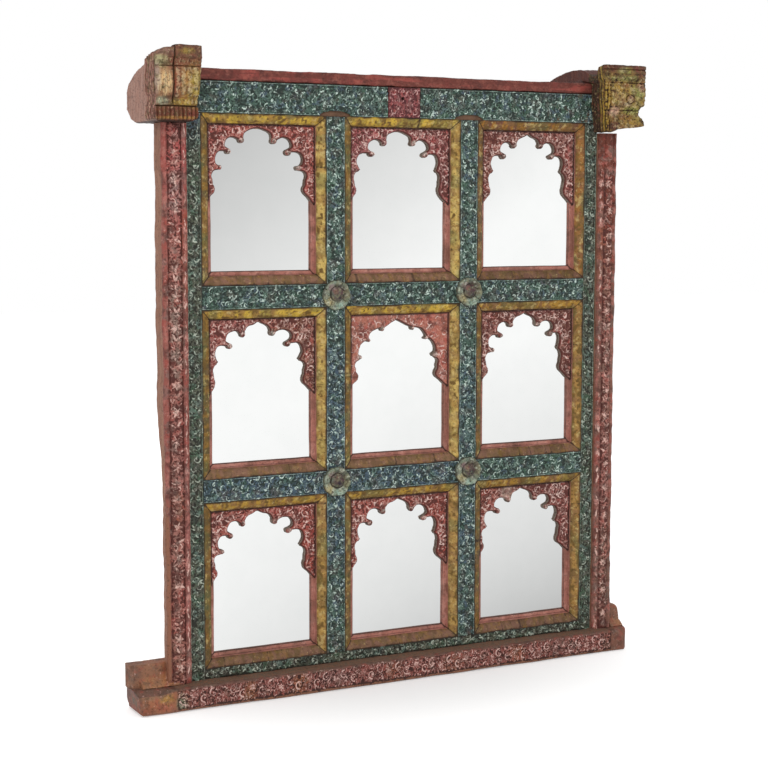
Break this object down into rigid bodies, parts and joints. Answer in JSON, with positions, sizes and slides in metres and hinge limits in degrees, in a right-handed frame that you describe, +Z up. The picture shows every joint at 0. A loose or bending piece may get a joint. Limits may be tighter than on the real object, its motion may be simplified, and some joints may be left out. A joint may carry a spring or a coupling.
{
  "type": "carved wall mirror",
  "caption": "Tall carved and painted wooden window screen holding a grid of mirror panes under cusped arches, between pilasters with carved capitals on a sill beam.",
  "frame": {"origin": "under the middle of the pane grid on the sill's underside, in the plane of the grid's flat front face", "axes": "+X to the viewer's right, +Y from the front towards the wall, +Z up"},
  "size_m": [1.1683, 0.24, 1.287],
  "materials": {
    "green_paint": "worn blue-green paint over carved hardwood",
    "red_paint": "worn red paint over carved hardwood",
    "yellow_paint": "worn yellow and ochre paint over carved hardwood",
    "old_wood": "hand-hewn hardwood with traces of red paint",
    "plain_board": "plain thin board and sawn battens",
    "cream_paint": "worn cream and green paint over carved hardwood",
    "mirror_glass": "silvered flat glass"
  },
  "bodies": {
    "root": {"sill_beam": "old_wood", "bottom_rail": "green_paint", "lintel": "green_paint", "lintel_tablet": "red_paint", "lintel_cap": "red_paint", "left_stile": "green_paint", "right_stile": "green_paint", "muntin_1": "green_paint", "muntin_2": "green_paint", "left_pilaster": "red_paint", "right_pilaster": "red_paint", "left_capital": "yellow_paint", "right_capital": "yellow_paint", "rail_1_1": "green_paint", "rail_1_2": "green_paint", "rail_1_3": "green_paint", "rail_2_1": "green_paint", "rail_2_2": "green_paint", "rail_2_3": "green_paint", "mirror_1_1": "mirror_glass", "arch_left_1_1": "red_paint", "arch_right_1_1": "red_paint", "mirror_1_2": "mirror_glass", "arch_left_1_2": "red_paint", "arch_right_1_2": "red_paint", "mirror_1_3": "mirror_glass", "arch_left_1_3": "red_paint", "arch_right_1_3": "red_paint", "mirror_2_1": "mirror_glass", "arch_left_2_1": "red_paint", "arch_right_2_1": "red_paint", "mirror_2_2": "mirror_glass", "arch_left_2_2": "red_paint", "arch_right_2_2": "red_paint", "mirror_2_3": "mirror_glass", "arch_left_2_3": "red_paint", "arch_right_2_3": "red_paint", "mirror_3_1": "mirror_glass", "arch_left_3_1": "red_paint", "arch_right_3_1": "red_paint", "mirror_3_2": "mirror_glass", "arch_left_3_2": "red_paint", "arch_right_3_2": "red_paint", "mirror_3_3": "mirror_glass", "arch_left_3_3": "red_paint", "arch_right_3_3": "red_paint", "rosette_1_1": "cream_paint", "rosette_1_2": "cream_paint", "rosette_2_1": "cream_paint", "rosette_2_2": "cream_paint", "back_board": "plain_board", "upper_batten": "plain_board", "lower_batten": "plain_board"}
  },
  "joints": []
}
